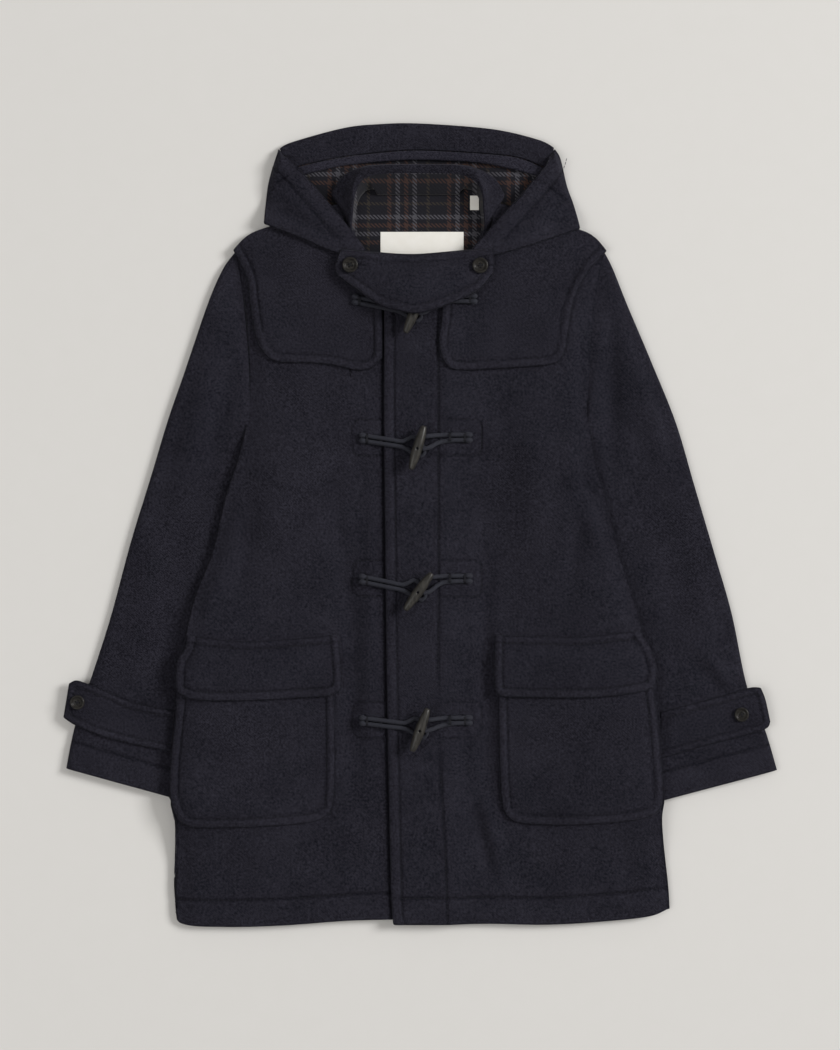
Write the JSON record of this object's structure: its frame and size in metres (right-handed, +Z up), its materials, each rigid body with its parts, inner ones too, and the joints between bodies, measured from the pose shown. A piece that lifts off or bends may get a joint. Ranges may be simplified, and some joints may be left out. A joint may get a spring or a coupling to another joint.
{
  "type": "duffle coat",
  "caption": "Hooded wool duffle coat with horn toggles on cord loops, patch pockets, cuff straps and a throat tab, laid flat on its back.",
  "frame": {"origin": "middle of the coat's outline, on the surface that it lies on", "axes": "+X to the wearer's left across the coat, +Y from the hem to the hood, +Z up out of the surface"},
  "size_m": [0.883, 0.9943, 0.0375],
  "materials": {
    "coat_wool": "thick napped navy wool, matt",
    "plaid_face": "plaid inner face of the wool, matt",
    "binding": "bound edge of the hood facing, matt",
    "cord": "twisted cotton cord, matt",
    "toggle_horn": "dark polished horn with pale streaks",
    "button_horn": "dark polished horn, glossy",
    "label_satin": "blank woven satin, soft sheen"
  },
  "bodies": {
    "root": {"back": "coat_wool", "front_right": "coat_wool", "front_left": "coat_wool", "sleeve_right": "coat_wool", "sleeve_left": "coat_wool", "yoke_right": "coat_wool", "yoke_left": "coat_wool", "pocket_right": "coat_wool", "pocket_left": "coat_wool", "flap_right": "coat_wool", "flap_left": "coat_wool", "strap_right": "coat_wool", "strap_left": "coat_wool", "hood_side_right": "coat_wool", "hood_side_left": "coat_wool", "hood_facing": "coat_wool", "throat_tab": "coat_wool", "hood_binding": "binding", "hood_crown": "coat_wool", "hood_stand": "plaid_face", "neck_label": "label_satin", "size_label": "label_satin", "tab_button_right": "button_horn", "tab_button_left": "button_horn", "cuff_button_right": "button_horn", "cuff_button_left": "button_horn", "toggle_1": "toggle_horn", "loop_1": "cord", "rope_1a": "cord", "rope_1b": "cord", "toggle_2": "toggle_horn", "loop_2": "cord", "rope_2a": "cord", "rope_2b": "cord", "toggle_3": "toggle_horn", "loop_3": "cord", "rope_3a": "cord", "rope_3b": "cord", "toggle_4": "toggle_horn", "loop_4": "cord", "rope_4a": "cord", "rope_4b": "cord"}
  },
  "joints": []
}
